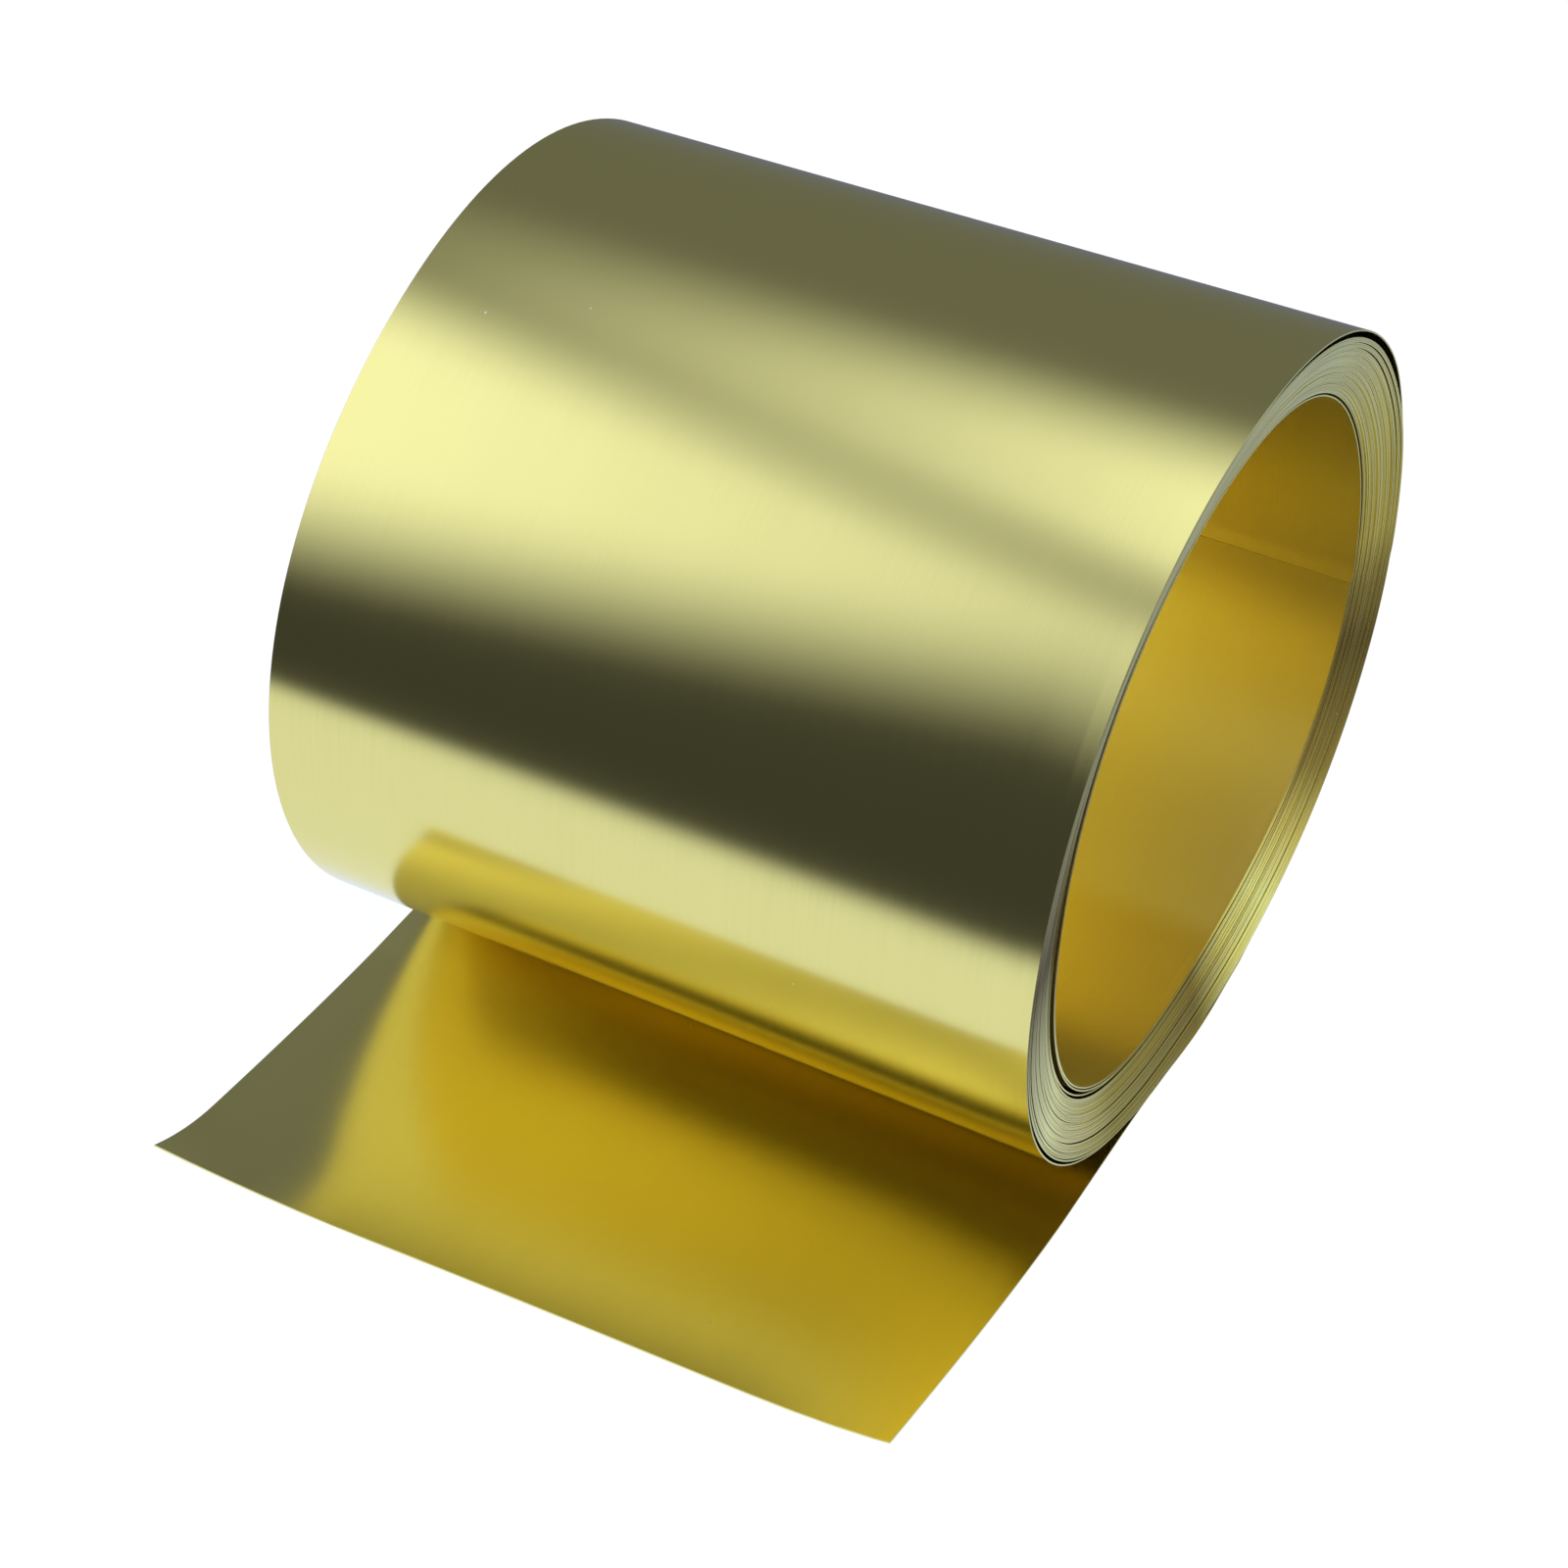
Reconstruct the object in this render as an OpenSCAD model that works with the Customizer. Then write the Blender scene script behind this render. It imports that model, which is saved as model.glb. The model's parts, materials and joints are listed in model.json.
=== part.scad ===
// Roll of brass strip: one long strip wound into an open roll, with its free end lying in front.
// The roll lies on its side, and its axis is the X axis. The origin is halfway along the strip's width.
// The floor is the plane z = -roll_r, and the free end points along -Y.

/* [Strip] */
// Width of the strip
strip_w = 100; // [20:5:200]
// Thickness of the strip
strip_t = 0.2; // [0.1:0.05:0.4]

/* [Roll] */
// Diameter of the open bore, which the first turn was wound to
bore_d = 83; // [40:1:200]
// How far the innermost turn has slid along the axis from the outermost one
bore_slide = 1.5; // [0:0.1:6]
// How far single turns stand out of line at the ends
turn_wander = 0.12; // [0:0.02:0.4]
// Number of innermost turns that lie flush with each other at the ends
flush_turns = 3; // [1:1:6]

/* [Bunches] */
// Number of bunches of turns under the last turn
bunches = 10; // [2:1:16]
// Number of turns that lie tight on each other in a bunch
bunch_turns = 4; // [2:1:8]
// Gap between two bunches of turns
bunch_gap = 0.12; // [0.1:0.01:0.3]
// Depth to which the gaps between the bunches are cut into the ends
gap_depth = 3; // [1:0.5:8]

/* [Last turn] */
// How far the last turn rises off the roll at the top
loop_lift = 0.5; // [0.3:0.05:3]
// How far the last turn stands off the roll behind it
loop_back = 2.6; // [1:0.1:6]
// How far the last turn and the tail have slid along the axis
loop_slide = 1.8; // [0:0.1:6]
// Angle in front of the lowest point at which the last turn begins
loop_start = 18; // [8:1:40]
// How far behind the lowest point the last turn comes down onto the floor
loop_landing = 18; // [6:1:24]

/* [Tail] */
// Length of the tail that lies flat on the floor in front of the lowest point
tail_flat = 32; // [10:1:120]
// Radius to which the rest of the tail curls up
tail_curl_r = 180; // [60:1:400]
// Angle through which the tail curls up
tail_curl_angle = 16; // [4:1:40]

/* [Hidden] */
// Depth to which the last turn is sunk into the roll, which makes the strip one solid
bond = 0.05;
// Turning angle between the sideways places of two neighbouring turns
wander_angle = 137.5;
// Angle by which the last turn laps over the strip on the floor where it lands
landing_lap = 0.2;

bore_r = bore_d/2;
bunch_pitch = bunch_turns*strip_t + bunch_gap;
wall = bunches*bunch_pitch - bunch_gap;
wound_r = bore_r + wall;
roll_r = wound_r - bond + strip_t;
all_turns = bunches*bunch_turns;

// The last turn bends to front_r in front of its highest point and to behind_r behind it. Below bend_z it
// bends to back_r and meets the floor where it lands.
front_r = roll_r + loop_lift;
behind_r = roll_r + loop_back - loop_lift;
back_y = roll_r + loop_back;
bend_z = front_r - behind_r;
landing_run = back_y - loop_landing;
landing_drop = roll_r + bend_z;
back_r = (landing_run*landing_run + landing_drop*landing_drop)/(2*landing_run);
landing_angle = asin(landing_drop/back_r);

$fn = 160;

// Sideways place of a turn, counted from the outermost
function turn_slide(turn) =
    let (counted = min(turn, all_turns - flush_turns))
    -bore_slide*counted/all_turns + turn_wander*sin(counted*wander_angle);

// One turn as [inside radius, outside radius, near end, far end], counted from the outermost
function turn_layer(bunch, turn) =
    let (outside = wound_r - bunch*bunch_pitch - turn*strip_t,
         slide = turn_slide(bunch*bunch_turns + turn))
    [outside - strip_t, outside, strip_w/2 + slide, -strip_w/2 + slide];

// The gap inside a bunch, in the same form
function gap_layer(bunch) =
    let (outside = wound_r - bunch*bunch_pitch - bunch_turns*strip_t,
         slide = turn_slide((bunch + 1)*bunch_turns))
    [outside - bunch_gap, outside, strip_w/2 + slide - gap_depth, -strip_w/2 + slide + gap_depth];

// All layers of the roll, from the outermost to the innermost
layers = [
    for (bunch = [0 : bunches - 1])
        for (turn = [0 : bunch_turns - (bunch < bunches - 1 ? 0 : 1)])
            turn < bunch_turns ? turn_layer(bunch, turn) : gap_layer(bunch)
];

// Outline of the wound turns, as radius and place along the axis
roll_outline = concat(
    [for (layer = layers) each [[layer[1], layer[2]], [layer[0], layer[2]]]],
    [for (i = [len(layers) - 1 : -1 : 0]) each [[layers[i][0], layers[i][3]], [layers[i][1], layers[i][3]]]]
);

// Lays a shape drawn in the plane across the axis along X, over the width of the slid strip
module along_axis() {
    translate([-strip_w/2 - loop_slide, 0, 0])
        rotate([90, 0, 90])
            linear_extrude(height = strip_w)
                children();
}

// The wound turns under the last one, with the bore
module wound_turns() {
    rotate([0, 90, 0])
        rotate_extrude()
            polygon(roll_outline);
}

// Section of the strip bent to outside radius r about the origin, over at most half a turn
module bent_strip(r, from_angle, to_angle) {
    intersection() {
        difference() {
            circle(r = r);
            circle(r = r - strip_t);
        }
        polygon([
            [0, 0],
            for (angle = [from_angle, (from_angle + to_angle)/2, to_angle])
                2*r*[cos(angle), sin(angle)]
        ]);
    }
}

// The last turn around the wound ones: it rests on them in front, stands off at the top and behind,
// and comes down onto the floor behind the lowest point
module last_turn() {
    along_axis() {
        bent_strip(roll_r, 180, 270 - loop_start);
        translate([loop_lift, 0]) bent_strip(front_r, 90, 180);
        translate([loop_lift, bend_z]) bent_strip(behind_r, 0, 90);
        intersection() {
            translate([back_y - back_r, bend_z]) bent_strip(back_r, -landing_angle - landing_lap, 0);
            translate([0, -roll_r]) square([back_y, landing_drop]);
        }
    }
}

// Free end of the strip: flat on the floor under the roll and in front of it, then curling up
module tail() {
    along_axis() {
        translate([-tail_flat, -roll_r]) square([tail_flat + loop_landing, strip_t]);
        translate([-tail_flat, tail_curl_r - roll_r])
            bent_strip(tail_curl_r, 270 - tail_curl_angle, 270);
    }
}

module brass_strip() {
    color([0.80, 0.70, 0.35])
        union() {
            wound_turns();
            last_turn();
            tail();
        }
}

brass_strip();
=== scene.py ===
"""Dresses the roll of brass strip: one strip, wound turn by turn, on a white table in soft studio light.

Lengths in the settings are millimetres, unless a comment says otherwise. The roll's axis is the X axis,
the floor is below it, and the strip's free end lies in front, towards -Y. Round the roll, an angle of
0 degrees points along +Y and 90 degrees straight up. Turns are counted from the inside.
"""
import json
import math

import bmesh
import bpy
import numpy as np
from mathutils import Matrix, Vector


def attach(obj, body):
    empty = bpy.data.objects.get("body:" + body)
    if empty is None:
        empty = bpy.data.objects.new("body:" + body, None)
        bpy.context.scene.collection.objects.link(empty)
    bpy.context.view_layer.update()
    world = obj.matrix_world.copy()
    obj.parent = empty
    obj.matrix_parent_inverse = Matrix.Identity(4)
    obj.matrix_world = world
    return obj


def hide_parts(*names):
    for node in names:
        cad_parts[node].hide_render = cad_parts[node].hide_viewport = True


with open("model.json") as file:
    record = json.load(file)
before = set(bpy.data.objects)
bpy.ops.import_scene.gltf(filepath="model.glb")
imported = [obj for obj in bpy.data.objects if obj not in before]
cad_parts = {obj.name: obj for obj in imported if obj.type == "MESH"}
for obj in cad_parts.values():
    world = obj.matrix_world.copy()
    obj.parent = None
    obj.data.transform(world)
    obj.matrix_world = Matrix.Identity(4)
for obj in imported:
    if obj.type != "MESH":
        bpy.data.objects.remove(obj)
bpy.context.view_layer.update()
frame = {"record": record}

MM = 0.001
NODE = "brass_strip"
MOUNTS = {mount["name"]: mount for mount in frame["record"]["mounts"]}
FLOOR_Z = MOUNTS["rest_face"]["pos_m"][2]/MM

# The strip, the room kept between two of its layers, and the angle from which an edge is drawn sharp
STRIP_WIDTH = MOUNTS["coil_bore"]["dims"]["length_mm"]
STRIP_THICKNESS = 0.2
EDGE_CHAMFER = 0.03
CLEARANCE = 0.01
SHARP_ANGLE = 30

# The roll's outer outline and its bore, each as a circle about the middle of the roll's end with a few
# soft waves: (number round the roll, height, angle of a crest)
MIDDLE_Y = -0.8
ROLL_HEIGHT = 49.98
OUTLINE_RADIUS = 51.83
OUTLINE_SHIFT = (1.17, -0.90)
OUTLINE_WAVES = ((2, 1.35, 3), (3, 0.90, -29), (4, 0.49, -40))
BORE_RADIUS = 42.31
BORE_SHIFT = (1.42, -0.36)
BORE_WAVES = ((2, 0.80, 12), (3, 1.10, -19), (4, 0.72, -33))
# How much the far end is larger than the near one, in the same form, and how many degrees to both sides
# of the lowest point that difference takes to fade in
FAR_SHIFT = (-0.35, 0.13)
FAR_WAVES = ((2, 0.57, -1), (3, 0.25, 59), (4, 0.53, -4))
FAR_FLOOR_REACH = 40
BOTTOM = -90

# How far the roll's ends lean: change of place along the axis per mm towards +Y and per mm up
LEAN = (0.005, 0.0275)

# The winding: the turns under the last one, where the strip's inner end lies, how far that end bends
# inwards and over how many degrees, and where the last turn begins
PACK_TURNS = 37
INNER_END_ANGLE = -7
INNER_END_LIFT = (0.25, 14)
LAST_TURN_ANGLE = 252
ANGLE_TOLERANCE = 0.01
STATIONS_PER_TURN = 180
# How far the innermost turn has slid in from the outermost, how far single turns wander along the axis and
# how fast that changes, and the number of turns before the last one in which it fades out
PACK_RECESS = 2.0
TURN_WANDER = 0.13
WANDER_KNOTS_PER_TURN = 3
WANDER_FADE = 0.25
# The uneven gaps between the turns: how fast and how strongly they change, how many turns they take to
# fade in after the first one, the smallest gap, and the share of a turn over which they are evened out
SEED = 11
GAP_KNOTS_PER_TURN = 2.5
GAP_SPREAD = 1.6
GAP_FADE = 1/6
SMALLEST_GAP = 0.004
EVENED_SHARE = 1/12
# Gaps that stand open between two turns: (turn, angle, half its reach, width)
OPEN_GAPS = (
    (1, 25, 62, 0.45),
    (1, 215, 50, 0.15),
    (2, 228, 50, 0.12),
    (2, 160, 100, 1.30),
    (3, 225, 45, 0.25),
    (9, 270, 60, 0.12),
    (16, 255, 70, 0.14),
    (22, 275, 60, 0.12),
    (27, 250, 50, 0.14),
    (30, 35, 40, 0.10),
    (33, 30, 60, 0.12),
    (35, 215, 35, 0.10),
)
# Gaps between the wound turns and the last one: (angles of its start, full width and end, width)
LAST_GAPS = (((14, 36, 66, 108), 0.85), ((196, 212, 226, 245), 0.40))
# Angles over which the last turn comes to lie on the wound ones
COVER_ANGLES = (5, 25)
# Sine of the angle below the axis from which the strip on the floor limits the wound turns
FLAT_SINE = 0.5

# The last turn: how many degrees it takes to leave the wound turns, and how far it stands off behind the
# roll, as (distance, angles at which that starts and is full)
JOIN_REACH = 12
STAND_OFF = ((0.6, 30, 10), (1.0, 25, -55))
# How far it has slid along the axis, and the angles over which it slides and then settles on the floor
SLIDE = 0.8
SLIDE_ANGLES = (40, 0)
SETTLE_ANGLES = (-40, -70)
# How far behind the lowest point it lands, how softly, the angle from which the floor limits its radius,
# and the radius that stands for no limit
LANDING = 18
LANDING_SOFTNESS = 0.15
FLOOR_ANGLE = -20
OUT_OF_REACH = 1000
# Its near edge flares a little, over this width and these angles
NEAR_EDGE_CREASE = 2.0
NEAR_EDGE_FLARE = 0.05
FLARE_ANGLES = (120, 150, 195, 225)

# The tail: how far its end reaches at the near and far edge, and where its near edge lies. The edge bows
# out under the roll: how far, at which place along Y and over which distance
TAIL_REACH = (79.8, 82.1)
TAIL_NEAR_X = 48.2
NEAR_EDGE_BOW = (0.65, 3, 11)
# Its rise at the end, the share of its reach at which that starts, and the form of the curve
TAIL_RISE = 4.95
RISE_START = 0.42
RISE_POWER = 1.5
# Its near edge is lifted, its far edge is lower and its far corner curls up; shares of its width and reach
NEAR_EDGE_LIFT = 1.6
NEAR_EDGE_SHARE = 0.25
NEAR_LIFT_POWER = 3
FAR_EDGE_DROP = 1.6
FAR_DROP_POWER = 3
FAR_CORNER_CURL = 2.2
CORNER_START = 0.86
CORNER_SHARE = 0.3
# Stations along the tail, columns across the last turn and the tail, and those of them in the crease
TAIL_STATIONS = 110
COLUMNS = 26
EDGE_COLUMNS = 7

# The camera: its direction, its distance from the point that it looks at, that point with its height above
# the floor, and its lens
CAMERA_AZIMUTH = 29.21
CAMERA_ELEVATION = 40.21
CAMERA_DISTANCE = 460.6
CAMERA_TARGET = (-9.93, MIDDLE_Y, 19.89)
SENSOR = 36
FOCAL_LENGTH = 81.3
CLIP_START = 10

# The brass: colours, grains per metre along and across the strip, and how strongly they show
BRASS = (0.875, 0.735, 0.21)
BRASS_DARK = (0.78, 0.635, 0.165)
EDGE_TINT = (1.0, 0.96, 0.75)
ANISOTROPY = 0.35
NOISE_DETAIL = 2
GRAIN = (40, 2500)
GRAIN_TONE = 0.25
GRAIN_ROUGHNESS = 0.05
STREAKS = (6, 110)
STREAK_TONE = 0.25
SPECKLE = (2500, 5000)
SPECKLE_STRENGTH = 0.15
SPECKLE_HEIGHT = 0.01
FACE_ROUGHNESS = 0.14
# The first turns are duller, up to this length of strip in metres, with a rougher patch near their end that
# also carries a painted highlight; its places along and across the strip are in metres too
INNER_LENGTH = 0.55
INNER_ROUGHNESS = 0.145
PATCH = {"along": (0.014, 0.026, 0.05, 0.056), "across": (0.035, 0.012)}
PATCH_ROUGHNESS = 0.06
# Painted highlight: the colour and share that make the bore's patch paler
PATCH_HIGHLIGHT_COLOUR = (0.92, 0.83, 0.28)
PATCH_HIGHLIGHT_SHARE = 0.5
# How much duller the tail is towards its end and towards its far edge, and from where to where in metres
TIP_DULL = (0.06, 0.035, 0.07)
SIDE_DULL = (0.1, 0.055, 0.095)
SIDE_DULL_FADE = 0.02
# Pale specks: their number per metre, size as a share of their distance, colour, and how they show
SPECKS_PER_METRE = 70
SPECK_SIZE = 0.012
SPECK_COLOUR = (0.95, 0.93, 0.7)
SPECK_SHARE = 0.5
SPECK_ROUGHNESS = 0.2
# The turns' cut edges: colours by angle round the roll, which are painted reflections, highlights and shade,
# the painted shade streaked between them, its streaks per metre and the noise values between which a streak
# fades in
END_PAINTED_REFLECTIONS = (
    (0, (0.50, 0.41, 0.10)),
    (25, (0.52, 0.46, 0.14)),
    (65, (0.48, 0.46, 0.20)),
    (105, (0.42, 0.38, 0.16)),
    (140, (0.32, 0.28, 0.10)),
    (178, (0.06, 0.03, 0.00)),
    (213, (0.84, 0.78, 0.32)),
    (245, (0.35, 0.29, 0.07)),
    (275, (0.20, 0.14, 0.02)),
    (288, (0.82, 0.72, 0.18)),
    (299, (0.97, 0.92, 0.30)),
    (310, (0.76, 0.62, 0.15)),
    (321, (0.32, 0.22, 0.04)),
    (340, (0.15, 0.10, 0.02)),
    (350, (0.23, 0.17, 0.04)),
    (360, (0.50, 0.41, 0.10)),
)
END_SHADE = (0.15, 0.12, 0.03)
END_SHADE_SHARE = 0.3
END_STREAKS = 22
END_STREAK_NOISE = (0.3, 0.7)
END_ROUGHNESS = 0.4
# Faces this close to the strip's edge count as the cut edge
CUT_EDGE_REACH = 0.01

# Light: softboxes by their angles about the X axis, from +Y upwards. A pair is a value and its change per
# unit of side, which is the light direction's part along X, kept within limits and counted from a zero
LIGHT_COLOUR = (1.01, 1.18, 1.8)
FRONT_LAMP = {"low": (81, 88), "low_soft": 23, "high": (173.4, -87), "high_soft": 42,
              "strength": (1.04, -1.75)}
TOP_LAMP = {"low": (51.5, -22), "low_soft": 31, "high": (101, 57), "high_soft": 22,
            "strength": (0.18, 3.7)}
SIDE_LIMITS = (-0.55, -0.25)
SIDE_ZERO = -0.5
# How bright the room is: everywhere, more of it behind the roll, and on the other side, where it is
# brighter still towards the top; each with the parts of the direction between which it fades in
ROOM = 0.05
ROOM_BEHIND = 0.1
BEHIND_FADE = (-0.3, 0.5)
OTHER_SIDE = 0.6
OTHER_SIDE_TOP = 0.6
OTHER_SIDE_FADE = (0.0, 0.25)
TOP_FADE = (0.0, 0.8)
# Lamp that shines into the bore from its far end: diameter and power in watts
BORE_LAMP = (82, 0.0135)

# The table: its near and far end along X, its front and rear along Y, and how far it lies below the strip
TABLE = (500, -500, -300, 190)
TABLE_GAP = 0.02
TABLE_COLOUR = (0.9, 0.9, 0.9)
TABLE_ROUGHNESS = 0.9
# How much of it glows to the camera, and how brightly; the rest takes the shadow
GLOW_TO_CAMERA = 0.9
WHITE_GLOW = 1.06
# The table as the strip mirrors it: how bright, and the slanting line in front where it ends
GLOW_IN_STRIP = 0.82
TABLE_END = -178
TABLE_END_SOFT = 30
TABLE_SLANT = 0.18

MIDDLE_Z = FLOOR_Z + ROLL_HEIGHT


def smooth(x):
    """Soft step from 0 to 1."""
    x = np.clip(x, 0, 1)
    return x*x*(3 - 2*x)


def ramp(value, start, full):
    """Soft step of a value from 0 at start to 1 at full, which may lie below start."""
    return smooth((value - start)/(full - start))


def bump(away, reach):
    """Soft bump of height 1 over a reach to both sides."""
    return 0.5 + 0.5*np.cos(math.pi*np.clip(np.abs(away)/reach, 0, 1))


def plateau(degrees, start, full, fade, stop):
    """Soft step up from 0 to 1 and down again between four angles."""
    return ramp(degrees, start, full)*ramp(degrees, stop, fade)


def wavy_radius(degrees, radius, shift, waves):
    """Radius of a wavy circle at an angle."""
    angle = np.radians(degrees)
    r = radius + shift[0]*np.cos(angle) + shift[1]*np.sin(angle)
    for count, height, crest in waves:
        r = r + height*np.cos(count*(angle - math.radians(crest)))
    return r


def outline(degrees):
    """Outer radius of the roll at its near end."""
    return wavy_radius(degrees, OUTLINE_RADIUS, OUTLINE_SHIFT, OUTLINE_WAVES)


def bore(degrees):
    """Radius of the bore at the roll's near end."""
    return wavy_radius(degrees, BORE_RADIUS, BORE_SHIFT, BORE_WAVES)


def far_change(degrees):
    """How much larger the radius is at the far end, and nothing at the floor."""
    change = wavy_radius(degrees, 0, FAR_SHIFT, FAR_WAVES)
    from_bottom = (degrees - BOTTOM + 180) % 360 - 180
    return change*(1 - bump(from_bottom, FAR_FLOOR_REACH))


def place(degrees, radii):
    """Place across the roll's axis, as y and z."""
    angle = np.radians(degrees)
    return MIDDLE_Y + radii*np.cos(angle), MIDDLE_Z + radii*np.sin(angle)


def near_end(y, z):
    """Place along the axis of the roll's leaning near end."""
    return STRIP_WIDTH/2 + LEAN[0]*y + LEAN[1]*(z - MIDDLE_Z)


def floor_edge(y):
    """Place along the axis of the near edge where the strip lies on the floor."""
    bow, middle, reach = NEAR_EDGE_BOW
    return TAIL_NEAR_X + bow*np.exp(-((y - middle)/reach)**2)


def soft_noise(places, knots_per_turn, rng):
    """Smooth random curve between -1 and 1 along the winding, whose places are in turns."""
    knots = places*knots_per_turn
    values = rng.uniform(-1, 1, int(knots.max()) + 3)
    low = np.floor(knots).astype(int)
    share = smooth(knots - low)
    return values[low]*(1 - share) + values[low + 1]*share


def pack_outline(degrees):
    """Outer surface of the wound turns, which lie under the last turn from its start to behind the top."""
    turned = degrees % 360
    covered = np.where(turned > LAST_TURN_ANGLE - ANGLE_TOLERANCE, 0, ramp(turned, *COVER_ANGLES))
    gap = sum(width*plateau(turned, *angles) for angles, width in LAST_GAPS)
    radii = outline(degrees) - covered*(STRIP_THICKNESS + CLEARANCE + gap)
    above_tail = ROLL_HEIGHT - STRIP_THICKNESS - CLEARANCE
    return np.minimum(radii, above_tail/np.maximum(-np.sin(np.radians(degrees)), FLAT_SINE))


def pack_radii(turns, degrees, rng):
    """Radius of the strip's middle at every station of the wound turns."""
    per_turn = STATIONS_PER_TURN
    count = len(turns)
    weights = np.exp(GAP_SPREAD*soft_noise(turns, GAP_KNOTS_PER_TURN, rng))
    weights *= ramp(turns, 1, 1 + GAP_FADE)
    opened = np.zeros(count)
    for turn, angle, reach, width in OPEN_GAPS:
        centre = turn + ((INNER_END_ANGLE - angle) % 360)/360
        opened += width*bump((turns - centre)*360, reach)

    # The first turn follows the bore, and its end bends inwards
    radii = np.zeros(count)
    lift, lifted = INNER_END_LIFT
    radii[:per_turn] = bore(degrees[:per_turn]) + STRIP_THICKNESS*(0.5 + turns[:per_turn])
    radii[:per_turn] -= lift*np.clip(1 - turns[:per_turn]*360/lifted, 0, None)**2

    # At every angle, the gaps share out the slack that the turns leave between the bore and the outside
    outer = pack_outline(degrees) - STRIP_THICKNESS/2
    scales = np.zeros(per_turn)
    for column in range(per_turn):
        places = np.arange(column, count, per_turn)
        slack = outer[places[-1]] - radii[column] - STRIP_THICKNESS*(len(places) - 1)
        scales[column] = (slack - opened[places[1:]].sum())/weights[places[1:]].sum()
    window = np.hanning(round(per_turn*EVENED_SHARE))
    padded = np.concatenate([scales]*3)
    scales = np.convolve(padded, window/window.sum(), "same")[per_turn:2*per_turn]
    gaps = opened + np.maximum(weights*np.resize(scales, count), SMALLEST_GAP)
    for i in range(per_turn, count):
        radii[i] = radii[i - per_turn] + STRIP_THICKNESS + gaps[i]
    return radii


def pack_grid(rng):
    """Middle surface of the wound turns, as stations along the strip by near and far edge, and the radius
    at its outer end."""
    end_turn = PACK_TURNS - 1 + ((INNER_END_ANGLE - LAST_TURN_ANGLE) % 360)/360
    count = round(end_turn*STATIONS_PER_TURN) + 1
    turns = np.arange(count)/STATIONS_PER_TURN
    degrees = INNER_END_ANGLE - 360*turns
    radii = pack_radii(turns, degrees, rng)
    y, z = place(degrees, radii)
    inside = 1 - turns/turns[-1]
    wander = TURN_WANDER*soft_noise(turns, WANDER_KNOTS_PER_TURN, rng)
    wander *= smooth((turns[-1] - turns)/WANDER_FADE)
    near = near_end(y, z) - PACK_RECESS*inside + wander
    grid = np.zeros((count, 2, 3))
    grid[:, 0] = np.column_stack([near, y, z])
    grid[:, 1] = np.column_stack([near - STRIP_WIDTH, *place(degrees, radii + far_change(degrees))])
    return grid, radii[-1]


def loop_profile(start_radius):
    """Angles and radii of the last turn, from where it begins in front to the lowest point."""
    step_angle = 360/STATIONS_PER_TURN
    degrees = np.arange(LAST_TURN_ANGLE - step_angle, BOTTOM, -step_angle)
    half = STRIP_THICKNESS/2
    floor_z = half - ROLL_HEIGHT
    radii = outline(degrees) - half
    radii += (start_radius - radii[0])*ramp(degrees, degrees[0] - JOIN_REACH, degrees[0])
    for distance, start, full in STAND_OFF:
        radii += distance*ramp(degrees, start, full)

    # Behind the roll it widens until it lands, and then follows the floor
    landing = math.degrees(math.atan2(floor_z, LANDING))
    widening = math.hypot(floor_z, LANDING) - np.interp(landing, degrees[::-1], radii[::-1])
    radii += widening*np.clip(degrees/landing, 0, None)**2
    below = np.sin(np.radians(np.minimum(degrees, FLOOR_ANGLE)))
    to_floor = np.where(degrees < FLOOR_ANGLE, floor_z/below, OUT_OF_REACH)
    radii = -LANDING_SOFTNESS*np.logaddexp(-radii/LANDING_SOFTNESS, -to_floor/LANDING_SOFTNESS)
    return degrees, radii


def tail_height(s, w):
    """Height of the tail's middle above its flat part, at share s of its reach, w from near to far."""
    near_edge = np.clip(1 - w/NEAR_EDGE_SHARE, 0, None)**NEAR_LIFT_POWER
    rise = TAIL_RISE + NEAR_EDGE_LIFT*near_edge - FAR_EDGE_DROP*w**FAR_DROP_POWER
    tip = np.clip((s - CORNER_START)/(1 - CORNER_START), 0, None)**2
    far_corner = np.clip((w - 1 + CORNER_SHARE)/CORNER_SHARE, 0, None)**2
    climb = np.clip((s - RISE_START)/(1 - RISE_START), 0, None)**RISE_POWER
    return rise*climb + FAR_CORNER_CURL*far_corner*tip


def last_grid(start_radius):
    """Middle surface of the last turn and the tail, as stations by columns from near to far, and the
    columns' shares of the width."""
    crease = NEAR_EDGE_CREASE/STRIP_WIDTH
    across = np.concatenate([np.linspace(0, crease, EDGE_COLUMNS),
                             np.linspace(crease, 1, COLUMNS - EDGE_COLUMNS + 1)[1:]])

    degrees, radii = loop_profile(start_radius)
    loop_y, loop_z = place(degrees, radii)
    near = near_end(loop_y, loop_z) - SLIDE*ramp(degrees, *SLIDE_ANGLES)
    settled = ramp(degrees, *SETTLE_ANGLES)
    near = near*(1 - settled) + floor_edge(loop_y)*settled
    flare = NEAR_EDGE_FLARE*plateau(degrees, *FLARE_ANGLES)[:, None]*np.clip(1 - across/crease, 0, None)
    spread = radii[:, None] + far_change(degrees)[:, None]*across + flare
    loop = np.zeros((len(loop_y), COLUMNS, 3))
    loop[:, :, 0] = near[:, None] - STRIP_WIDTH*across
    loop[:, :, 1], loop[:, :, 2] = place(degrees[:, None], spread)

    s = np.linspace(0, 1, TAIL_STATIONS + 1)[1:, None]
    reach = TAIL_REACH[0] + (TAIL_REACH[1] - TAIL_REACH[0])*across
    tail = np.zeros((TAIL_STATIONS, COLUMNS, 3))
    tail[:, :, 1] = MIDDLE_Y - s*reach
    tail[:, :, 0] = floor_edge(tail[:, :1, 1]) - STRIP_WIDTH*across
    tail[:, :, 2] = FLOOR_Z + STRIP_THICKNESS/2 + tail_height(s, across)
    return np.concatenate([loop, tail]), across


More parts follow.
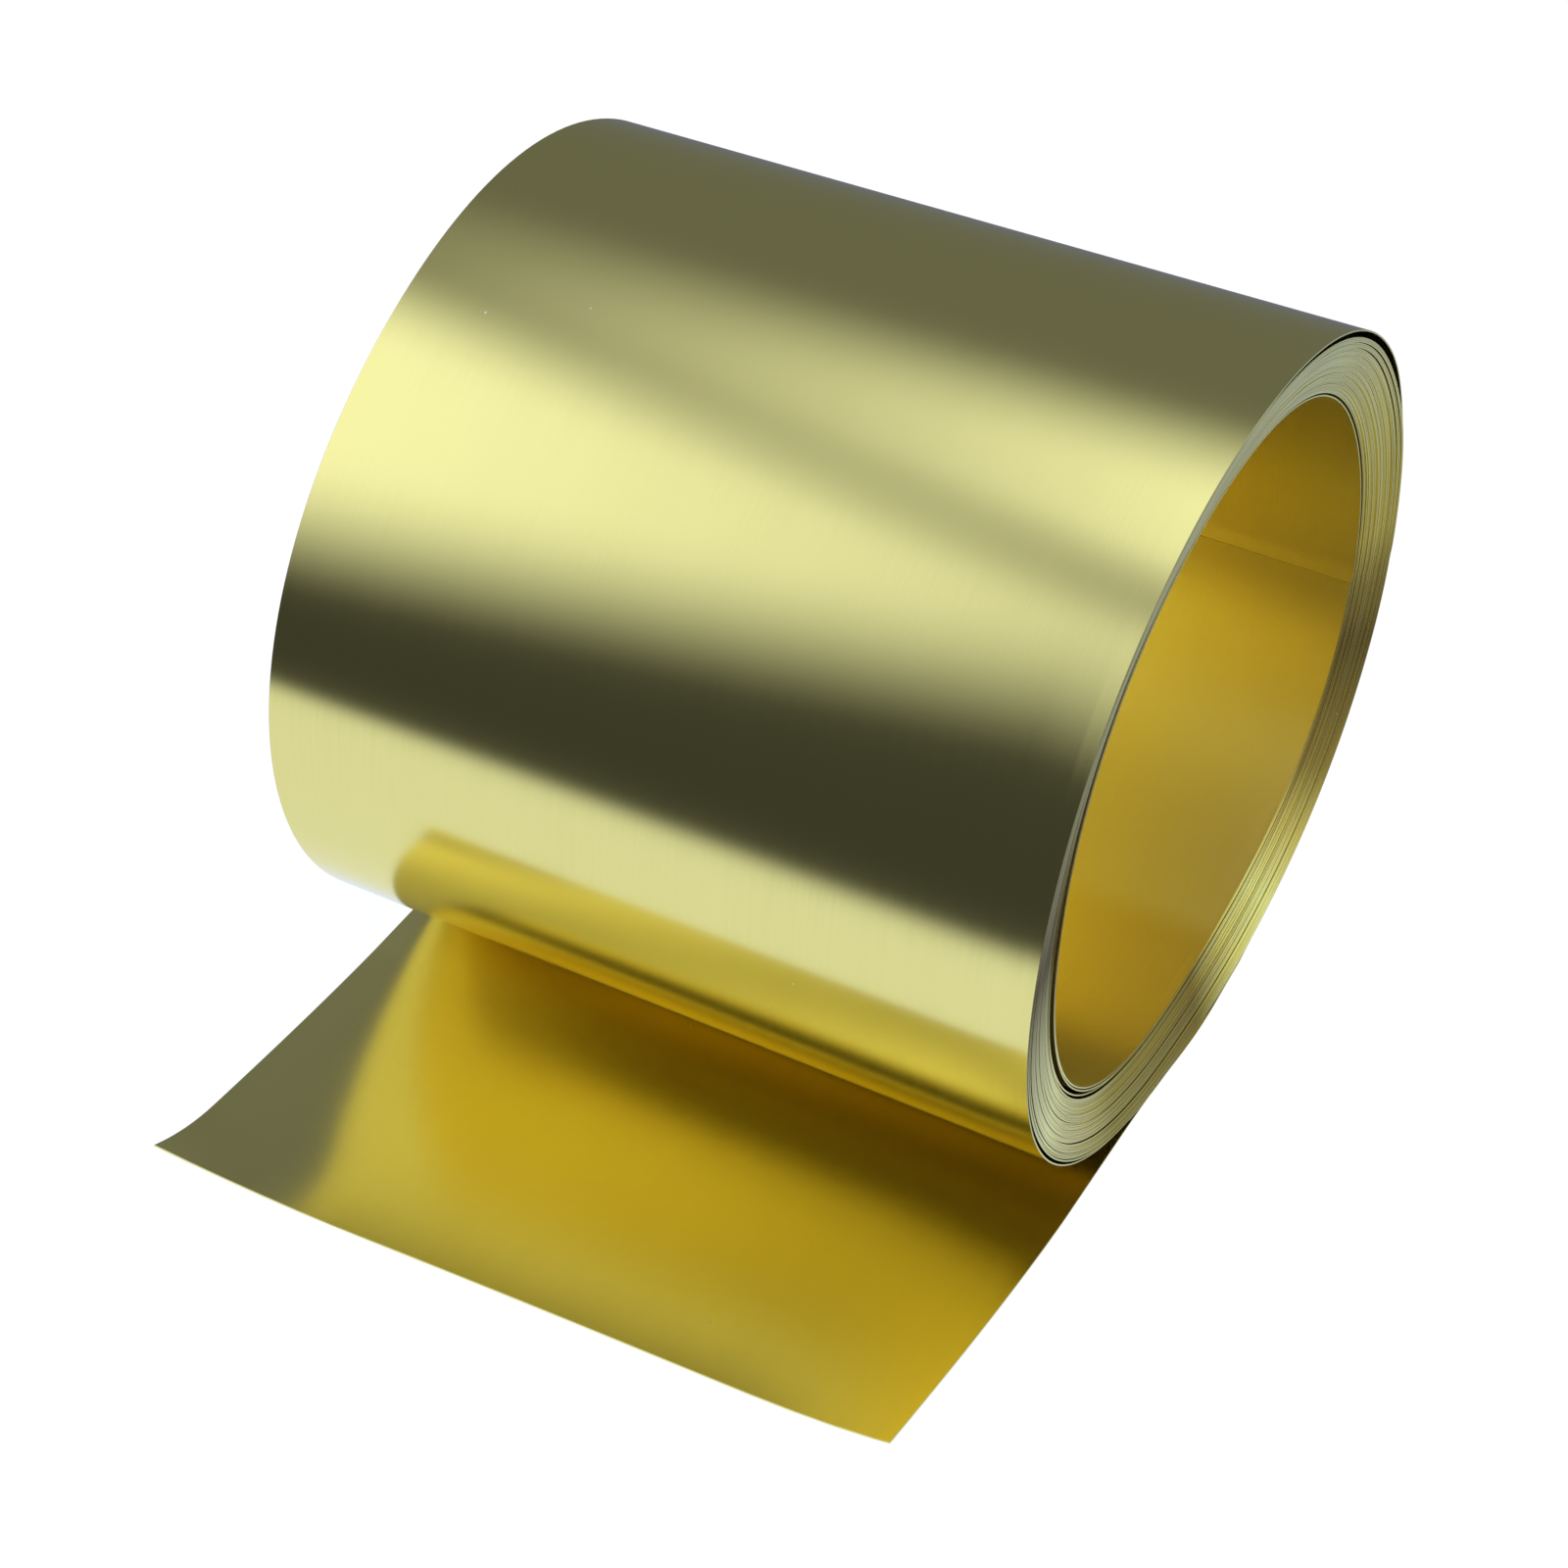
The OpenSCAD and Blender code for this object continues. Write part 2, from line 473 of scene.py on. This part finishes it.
def outward(grid):
    """Unit normal of the middle surface at every point, on the strip's outer side."""
    normal = np.cross(-np.gradient(grid, axis=1), np.gradient(grid, axis=0))
    return normal/np.linalg.norm(normal, axis=2, keepdims=True)


def section_loops(grid, normals):
    """Rings of points round the strip's section: outer face, far edge, inner face, near edge."""
    half = STRIP_THICKNESS/2
    side = grid[:, :1] - grid[:, -1:]
    side /= np.linalg.norm(side, axis=2, keepdims=True)
    face = grid.copy()
    face[:, 0] -= EDGE_CHAMFER*side[:, 0]
    face[:, -1] += EDGE_CHAMFER*side[:, 0]
    outer = face + half*normals
    inner = (face - half*normals)[:, ::-1]
    shy = half - EDGE_CHAMFER
    far_edge = [grid[:, -1:] + shy*normals[:, -1:], grid[:, -1:] - shy*normals[:, -1:]]
    near_edge = [grid[:, :1] - shy*normals[:, :1], grid[:, :1] + shy*normals[:, :1]]
    return np.concatenate([outer, *far_edge, inner, *near_edge], axis=1)


def join_rings(bm, a, b):
    """Faces between two rings with the same number of points."""
    for j in range(len(a)):
        k = (j + 1) % len(a)
        bm.faces.new([a[j], b[j], b[k], a[k]])


def join_unlike_rings(bm, a, b):
    """Faces between two rings with different numbers of columns: one polygon for each face of the strip,
    and three faces for each of its chamfered edges."""
    na, nb = len(a)//2 - 2, len(b)//2 - 2
    bm.faces.new(a[:na][::-1] + b[:nb])
    bm.faces.new(a[na + 2:2*na + 2][::-1] + b[nb + 2:2*nb + 2])
    for first_a, first_b in ((na - 1, nb - 1), (2*na + 1, 2*nb + 1)):
        for j in range(3):
            a_low, a_high = a[(first_a + j) % len(a)], a[(first_a + j + 1) % len(a)]
            b_low, b_high = b[(first_b + j) % len(b)], b[(first_b + j + 1) % len(b)]
            bm.faces.new([a_low, b_low, b_high, a_high])


def build_strip():
    """The whole strip as one closed mesh with its length and width as texture coordinates, and the length
    of strip in metres before the tail."""
    rng = np.random.default_rng(SEED)
    pack, end_radius = pack_grid(rng)
    last, across = last_grid(end_radius)
    both = np.concatenate([pack, last[:, [0, -1]]])
    middle = both.mean(axis=1)
    length = np.concatenate([[0], np.cumsum(np.linalg.norm(np.diff(middle, axis=0), axis=1))])

    mesh = bpy.data.meshes.new("strip")
    bm = bmesh.new()
    uv = bm.loops.layers.uv.new("strip")
    places = {}

    def ring(points, station, shares):
        """Vertices of one ring, with their places along and across the strip noted."""
        widths = [*shares, 1, 1, *shares[::-1], 0, 0]
        verts = [bm.verts.new(Vector(point)*MM) for point in points]
        for vert, share in zip(verts, widths):
            places[vert] = (length[station]*MM, share*STRIP_WIDTH*MM)
        return verts

    pack_loops = section_loops(pack, outward(both)[:len(pack)])
    last_loops = section_loops(last, outward(last))
    rings = [ring(points, i, [0, 1]) for i, points in enumerate(pack_loops)]
    rings += [ring(points, len(pack) + i, across) for i, points in enumerate(last_loops)]
    for a, b in zip(rings, rings[1:]):
        join = join_rings if len(a) == len(b) else join_unlike_rings
        join(bm, a, b)
    bm.faces.new(rings[0])
    bm.faces.new(rings[-1][::-1])
    bmesh.ops.recalc_face_normals(bm, faces=bm.faces)
    for face in bm.faces:
        face.smooth = True
        for corner in face.loops:
            corner[uv].uv = places[corner.vert]
    bm.to_mesh(mesh)
    bm.free()
    mesh.set_sharp_from_angle(angle=math.radians(SHARP_ANGLE))
    strip = bpy.data.objects.new("strip", mesh)
    bpy.context.scene.collection.objects.link(strip)
    return strip, length[-TAIL_STATIONS]*MM


def node_of(tree, kind, **values):
    """New node with its settings."""
    node = tree.nodes.new(kind)
    for name, value in values.items():
        setattr(node, name, value)
    return node


def feed(tree, socket, item):
    """Sets an input to a number or colour, or links an output to it."""
    if isinstance(item, bpy.types.NodeSocket):
        tree.links.new(item, socket)
    elif isinstance(item, tuple) and len(item) == 3 and socket.type == "RGBA":
        socket.default_value = (*item, 1)
    else:
        socket.default_value = item


def calc(tree, operation, *items):
    """Result of a maths node."""
    node = node_of(tree, "ShaderNodeMath", operation=operation)
    for socket, item in zip(node.inputs, items):
        feed(tree, socket, item)
    return node.outputs[0]


def parts(tree, vector):
    """The three parts of a vector."""
    node = node_of(tree, "ShaderNodeSeparateXYZ")
    feed(tree, node.inputs[0], vector)
    return node.outputs


def step(tree, value, low, high):
    """Soft step of a value from 0 at low to 1 at high."""
    node = node_of(tree, "ShaderNodeMapRange", interpolation_type="SMOOTHSTEP")
    for name, item in (("Value", value), ("From Min", low), ("From Max", high)):
        feed(tree, node.inputs[name], item)
    return node.outputs["Result"]


def blend(tree, share, first, second):
    """Mix of two colours."""
    node = node_of(tree, "ShaderNodeMix", data_type="RGBA")
    for socket, item in zip((node.inputs["Factor"], node.inputs[6], node.inputs[7]), (share, first, second)):
        feed(tree, socket, item)
    return node.outputs[2]


def noise(tree, along, across, u, v):
    """Noise stretched by its numbers of grains per metre along and across the strip."""
    spot = node_of(tree, "ShaderNodeCombineXYZ")
    feed(tree, spot.inputs[0], calc(tree, "MULTIPLY", u, along))
    feed(tree, spot.inputs[1], calc(tree, "MULTIPLY", v, across))
    node = node_of(tree, "ShaderNodeTexNoise")
    feed(tree, node.inputs["Vector"], spot.outputs[0])
    node.inputs["Scale"].default_value = 1
    node.inputs["Detail"].default_value = NOISE_DETAIL
    return node.outputs[0]


def painted_end_reflections(tree, u):
    """Painted reflections, highlights and shade of the turns' cut edges, which change round the roll, with
    painted shade streaks from turn to turn.
    """
    coords = node_of(tree, "ShaderNodeTexCoord")
    _, y, z = parts(tree, coords.outputs["Object"])
    up = calc(tree, "SUBTRACT", z, MIDDLE_Z*MM)
    back = calc(tree, "SUBTRACT", y, MIDDLE_Y*MM)
    turn = calc(tree, "FRACT", calc(tree, "DIVIDE", calc(tree, "ARCTAN2", up, back), 2*math.pi))
    # Painted reflections, highlights and shade: a colour for each angle round the roll
    reflection_ramp = node_of(tree, "ShaderNodeValToRGB")
    feed(tree, reflection_ramp.inputs[0], turn)
    points = reflection_ramp.color_ramp.elements
    while len(points) < len(END_PAINTED_REFLECTIONS):
        points.new(0.5)
    for point, (degrees, colour) in zip(points, END_PAINTED_REFLECTIONS):
        point.position = degrees/360
        point.color = (*colour, 1)
    # Painted shade: dark streaks that differ from turn to turn
    streak = step(tree, noise(tree, END_STREAKS, 0, u, u), *END_STREAK_NOISE)
    return blend(tree, calc(tree, "MULTIPLY", streak, END_SHADE_SHARE), reflection_ramp.outputs[0], END_SHADE)


def brass_material(tail_start):
    """Rolled brass, with the length of strip in metres at which the tail starts."""
    material = bpy.data.materials.new("rolled_brass")
    material.use_nodes = True
    tree = material.node_tree
    shader = tree.nodes["Principled BSDF"]
    spread = node_of(tree, "ShaderNodeUVMap", uv_map="strip")
    u, v, _ = parts(tree, spread.outputs[0])
    face = calc(tree, "MULTIPLY", calc(tree, "GREATER_THAN", v, CUT_EDGE_REACH*MM),
                calc(tree, "LESS_THAN", v, (STRIP_WIDTH - CUT_EDGE_REACH)*MM))

    # What lies on the faces: grain and streaks, pale specks, and the rougher patch in the bore with its
    # painted highlight
    grain = noise(tree, *GRAIN, u, v)
    streaks = noise(tree, *STREAKS, u, v)
    specks = node_of(tree, "ShaderNodeTexVoronoi")
    feed(tree, specks.inputs["Vector"], spread.outputs[0])
    specks.inputs["Scale"].default_value = SPECKS_PER_METRE
    speck = calc(tree, "LESS_THAN", specks.outputs["Distance"], SPECK_SIZE)
    start, full, fade, stop = PATCH["along"]
    patch = calc(tree, "MULTIPLY", step(tree, u, start, full), step(tree, u, stop, fade))
    patch = calc(tree, "MULTIPLY", patch, step(tree, v, *PATCH["across"]))

    # Colour
    tone = calc(tree, "MULTIPLY_ADD", grain, GRAIN_TONE, calc(tree, "MULTIPLY", streaks, STREAK_TONE))
    faces = blend(tree, tone, BRASS, BRASS_DARK)
    faces = blend(tree, calc(tree, "MULTIPLY", speck, SPECK_SHARE), faces, SPECK_COLOUR)
    # Painted highlight: the bore's patch made paler
    faces = blend(tree, calc(tree, "MULTIPLY", patch, PATCH_HIGHLIGHT_SHARE), faces, PATCH_HIGHLIGHT_COLOUR)
    # The cut edges take painted reflections and shade by their angle round the roll
    feed(tree, shader.inputs["Base Color"], blend(tree, face, painted_end_reflections(tree, u), faces))
    feed(tree, shader.inputs["Metallic"], 1.0)
    feed(tree, shader.inputs["Specular Tint"], EDGE_TINT)

    # Roughness: of the faces, more of it in the bore and on the tail, and that of the cut edges
    rough = calc(tree, "MULTIPLY_ADD", grain, GRAIN_ROUGHNESS, FACE_ROUGHNESS - GRAIN_ROUGHNESS/2)
    rough = calc(tree, "MULTIPLY_ADD", speck, SPECK_ROUGHNESS, rough)
    inner = calc(tree, "LESS_THAN", u, INNER_LENGTH)
    rough = calc(tree, "MULTIPLY_ADD", inner, INNER_ROUGHNESS, rough)
    rough = calc(tree, "MULTIPLY_ADD", patch, PATCH_ROUGHNESS, rough)
    free = calc(tree, "SUBTRACT", u, tail_start)
    at_tip = calc(tree, "MULTIPLY", step(tree, free, *TIP_DULL[1:]), TIP_DULL[0])
    at_side = calc(tree, "MULTIPLY", step(tree, v, *SIDE_DULL[1:]), step(tree, free, 0, SIDE_DULL_FADE))
    at_side = calc(tree, "MULTIPLY", at_side, SIDE_DULL[0])
    rough = calc(tree, "ADD", rough, calc(tree, "MAXIMUM", at_tip, at_side))
    ends = calc(tree, "MULTIPLY", calc(tree, "SUBTRACT", 1, face), END_ROUGHNESS)
    feed(tree, shader.inputs["Roughness"], calc(tree, "MULTIPLY_ADD", rough, face, ends))
    shader.inputs["Anisotropic"].default_value = ANISOTROPY
    tangent = node_of(tree, "ShaderNodeTangent", direction_type="UV_MAP", uv_map="strip")
    feed(tree, shader.inputs["Tangent"], tangent.outputs[0])

    # Fine speckle, and none in the bore
    speckle = node_of(tree, "ShaderNodeBump")
    strength = calc(tree, "MULTIPLY", calc(tree, "SUBTRACT", 1, inner), SPECKLE_STRENGTH)
    feed(tree, speckle.inputs["Strength"], strength)
    speckle.inputs["Distance"].default_value = SPECKLE_HEIGHT*MM
    feed(tree, speckle.inputs["Height"], noise(tree, *SPECKLE, u, v))
    feed(tree, shader.inputs["Normal"], speckle.outputs[0])
    return material


def lamp(tree, turn, side, low, low_soft, high, high_soft, strength):
    """Long softbox between two angles about the X axis; pairs are a value and its change per unit of side."""
    low, high, strength = (calc(tree, "MULTIPLY_ADD", side, change, value)
                           for value, change in (low, high, strength))
    rising = step(tree, turn, low, calc(tree, "ADD", low, low_soft))
    falling = step(tree, turn, calc(tree, "SUBTRACT", high, high_soft), high)
    shape = calc(tree, "MULTIPLY", rising, calc(tree, "SUBTRACT", 1, falling))
    return calc(tree, "MULTIPLY", shape, strength)


def studio_world():
    """Softboxes along the roll's axis, as they show in the strip, in a plain room; white to the camera."""
    world = bpy.data.worlds.new("studio")
    bpy.context.scene.world = world
    world.use_nodes = True
    tree = world.node_tree
    tree.nodes.clear()
    coords = node_of(tree, "ShaderNodeTexCoord")
    x, y, z = parts(tree, coords.outputs["Generated"])
    turn = calc(tree, "MULTIPLY", calc(tree, "ARCTAN2", z, y), 180/math.pi)
    side = calc(tree, "MINIMUM", calc(tree, "MAXIMUM", x, SIDE_LIMITS[0]), SIDE_LIMITS[1])
    side = calc(tree, "SUBTRACT", side, SIDE_ZERO)
    lamps = calc(tree, "ADD", lamp(tree, turn, side, **FRONT_LAMP), lamp(tree, turn, side, **TOP_LAMP))
    behind = calc(tree, "MULTIPLY_ADD", step(tree, y, *BEHIND_FADE), ROOM_BEHIND, ROOM)
    shown = calc(tree, "ADD", lamps, behind)
    other_room = calc(tree, "MULTIPLY_ADD", step(tree, z, *TOP_FADE), OTHER_SIDE_TOP, OTHER_SIDE)
    light = node_of(tree, "ShaderNodeMix", data_type="FLOAT")
    for index, item in zip((0, 2, 3), (step(tree, x, *OTHER_SIDE_FADE), shown, other_room)):
        feed(tree, light.inputs[index], item)
    tinted = blend(tree, light.outputs[0], (0, 0, 0), LIGHT_COLOUR)
    tinted.node.clamp_factor = False
    path = node_of(tree, "ShaderNodeLightPath")
    back = node_of(tree, "ShaderNodeBackground")
    feed(tree, back.inputs["Color"], blend(tree, path.outputs["Is Camera Ray"], tinted, (1.0, 1.0, 1.0)))
    out = node_of(tree, "ShaderNodeOutputWorld")
    feed(tree, out.inputs["Surface"], back.outputs[0])


def table_material():
    """White that glows to the camera and in the strip but still takes the object's shadow."""
    material = bpy.data.materials.new("table")
    material.use_nodes = True
    tree = material.node_tree
    shader = tree.nodes["Principled BSDF"]
    feed(tree, shader.inputs["Base Color"], TABLE_COLOUR)
    shader.inputs["Roughness"].default_value = TABLE_ROUGHNESS
    shader.inputs["Specular IOR Level"].default_value = 0
    path = node_of(tree, "ShaderNodeLightPath")
    seen, mirrored = path.outputs["Is Camera Ray"], path.outputs["Is Glossy Ray"]
    coords = node_of(tree, "ShaderNodeTexCoord")
    x, y, _ = parts(tree, coords.outputs["Object"])
    from_end = calc(tree, "MULTIPLY_ADD", x, -TABLE_SLANT, y)
    lit = step(tree, from_end, (TABLE_END - TABLE_END_SOFT)*MM, (TABLE_END + TABLE_END_SOFT)*MM)
    strength = calc(tree, "MULTIPLY_ADD", lit, GLOW_IN_STRIP - ROOM, ROOM)
    strength = calc(tree, "MAXIMUM", strength, calc(tree, "MULTIPLY", seen, WHITE_GLOW))
    glow = node_of(tree, "ShaderNodeEmission")
    feed(tree, glow.inputs["Color"], blend(tree, seen, LIGHT_COLOUR, (1.0, 1.0, 1.0)))
    feed(tree, glow.inputs["Strength"], strength)
    share = calc(tree, "MULTIPLY_ADD", seen, GLOW_TO_CAMERA, mirrored)
    mix = node_of(tree, "ShaderNodeMixShader")
    for socket, item in zip(mix.inputs, (share, shader.outputs[0], glow.outputs[0])):
        feed(tree, socket, item)
    feed(tree, tree.nodes["Material Output"].inputs["Surface"], mix.outputs[0])
    return material


def table():
    """Flat white floor under the roll."""
    bm = bmesh.new()
    near_x, far_x, front, rear = TABLE
    corners = [(far_x, front), (near_x, front), (near_x, rear), (far_x, rear)]
    bm.faces.new([bm.verts.new(Vector((x, y, FLOOR_Z - TABLE_GAP))*MM) for x, y in corners])
    mesh = bpy.data.meshes.new("table")
    bm.to_mesh(mesh)
    bm.free()
    mesh.materials.append(table_material())
    top = bpy.data.objects.new("table", mesh)
    bpy.context.scene.collection.objects.link(top)


def bore_lamp():
    """Soft round lamp in the bore's far end, in place of the bright room that the bore mirrors there."""
    diameter, power = BORE_LAMP
    data = bpy.data.lights.new("bore_lamp", "AREA")
    data.shape = "DISK"
    data.size = diameter*MM
    data.energy = power
    data.color = LIGHT_COLOUR
    item = bpy.data.objects.new("bore_lamp", data)
    bpy.context.scene.collection.objects.link(item)
    item.location = (-(STRIP_WIDTH/2 + PACK_RECESS)*MM, MIDDLE_Y*MM, MIDDLE_Z*MM)
    item.rotation_euler = (0, -math.pi/2, 0)
    item.visible_camera = False


def camera():
    """Camera at the photograph's viewing angle."""
    data = bpy.data.cameras.new("camera")
    data.sensor_width = SENSOR
    data.lens = FOCAL_LENGTH
    data.clip_start = CLIP_START*MM
    item = bpy.data.objects.new("camera", data)
    bpy.context.scene.collection.objects.link(item)
    azimuth, elevation = math.radians(CAMERA_AZIMUTH), math.radians(CAMERA_ELEVATION)
    back = Vector((math.sin(azimuth)*math.cos(elevation), -math.cos(azimuth)*math.cos(elevation),
                   math.sin(elevation)))
    target = Vector(CAMERA_TARGET) + Vector((0, 0, FLOOR_Z))
    item.location = (target + back*CAMERA_DISTANCE)*MM
    item.rotation_euler = back.to_track_quat("Z", "Y").to_euler()
    bpy.context.scene.camera = item


strip, tail_start = build_strip()
strip.data.materials.append(brass_material(tail_start))
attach(strip, "root")
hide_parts(NODE)
studio_world()
table()
bore_lamp()
camera()
bpy.context.scene.view_settings.view_transform = "Standard"
